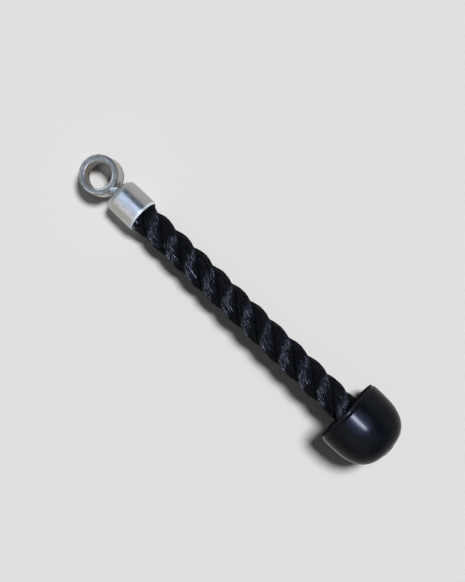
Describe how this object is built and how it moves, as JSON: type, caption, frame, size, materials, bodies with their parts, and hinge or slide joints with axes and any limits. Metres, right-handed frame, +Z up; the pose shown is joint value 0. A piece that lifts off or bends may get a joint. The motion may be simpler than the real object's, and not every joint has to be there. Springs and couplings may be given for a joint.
{
  "type": "triceps rope attachment",
  "caption": "Single-hand cable pulldown rope: thick laid rope with a swivelling steel eye at one end and a moulded rubber ball stop at the other.",
  "frame": {"origin": "on the floor under the middle of the part's bounding box, as the part lies on a floor", "axes": "+X from the steel eye towards the rubber ball, along the floor; +Z up; the rope's own line climbs 3.25 degrees from +X"},
  "size_m": [0.4124, 0.0716, 0.0719],
  "materials": {
    "eye_steel": "turned and bright plated, a little dull",
    "stem_steel": "bright plated over a weld fillet",
    "washer_steel": "plain plated",
    "nut_steel": "plain plated",
    "ferrule_steel": "drawn cup brushed along its length",
    "rope_nylon": "black twisted nylon yarns, slightly glossy",
    "ball_rubber": "moulded black rubber, satin",
    "sleeve_steel": "plain plated",
    "plug_rubber": "moulded black rubber, matt"
  },
  "bodies": {
    "ferrule": {"ferrule": "ferrule_steel", "rope_strand_1": "rope_nylon", "rope_strand_2": "rope_nylon", "rope_strand_3": "rope_nylon"},
    "eye": {"eye_ring": "eye_steel", "eye_stem": "stem_steel", "thrust_washer": "washer_steel", "lock_nut": "nut_steel"},
    "ball": {"rubber_ball": "ball_rubber", "rope_end_sleeve": "sleeve_steel", "end_plug": "plug_rubber"}
  },
  "joints": [
    {"name": "eye_swivel", "type": "hinge", "parent": "ferrule", "child": "eye", "pos_m": [-0.18624, 0, 0.01611], "axis": [0.9984, 0, 0.0566], "continuous": true},
    {"name": "rope_bend", "type": "hinge", "parent": "ferrule", "child": "ball", "pos_m": [0.01074, 0, 0.02729], "axis": [0, 0, 1], "range_deg": [-60, 60], "stiffness_Nm_per_rad": 0.4, "deforming": ["rope_strand_1", "rope_strand_2", "rope_strand_3"]}
  ]
}
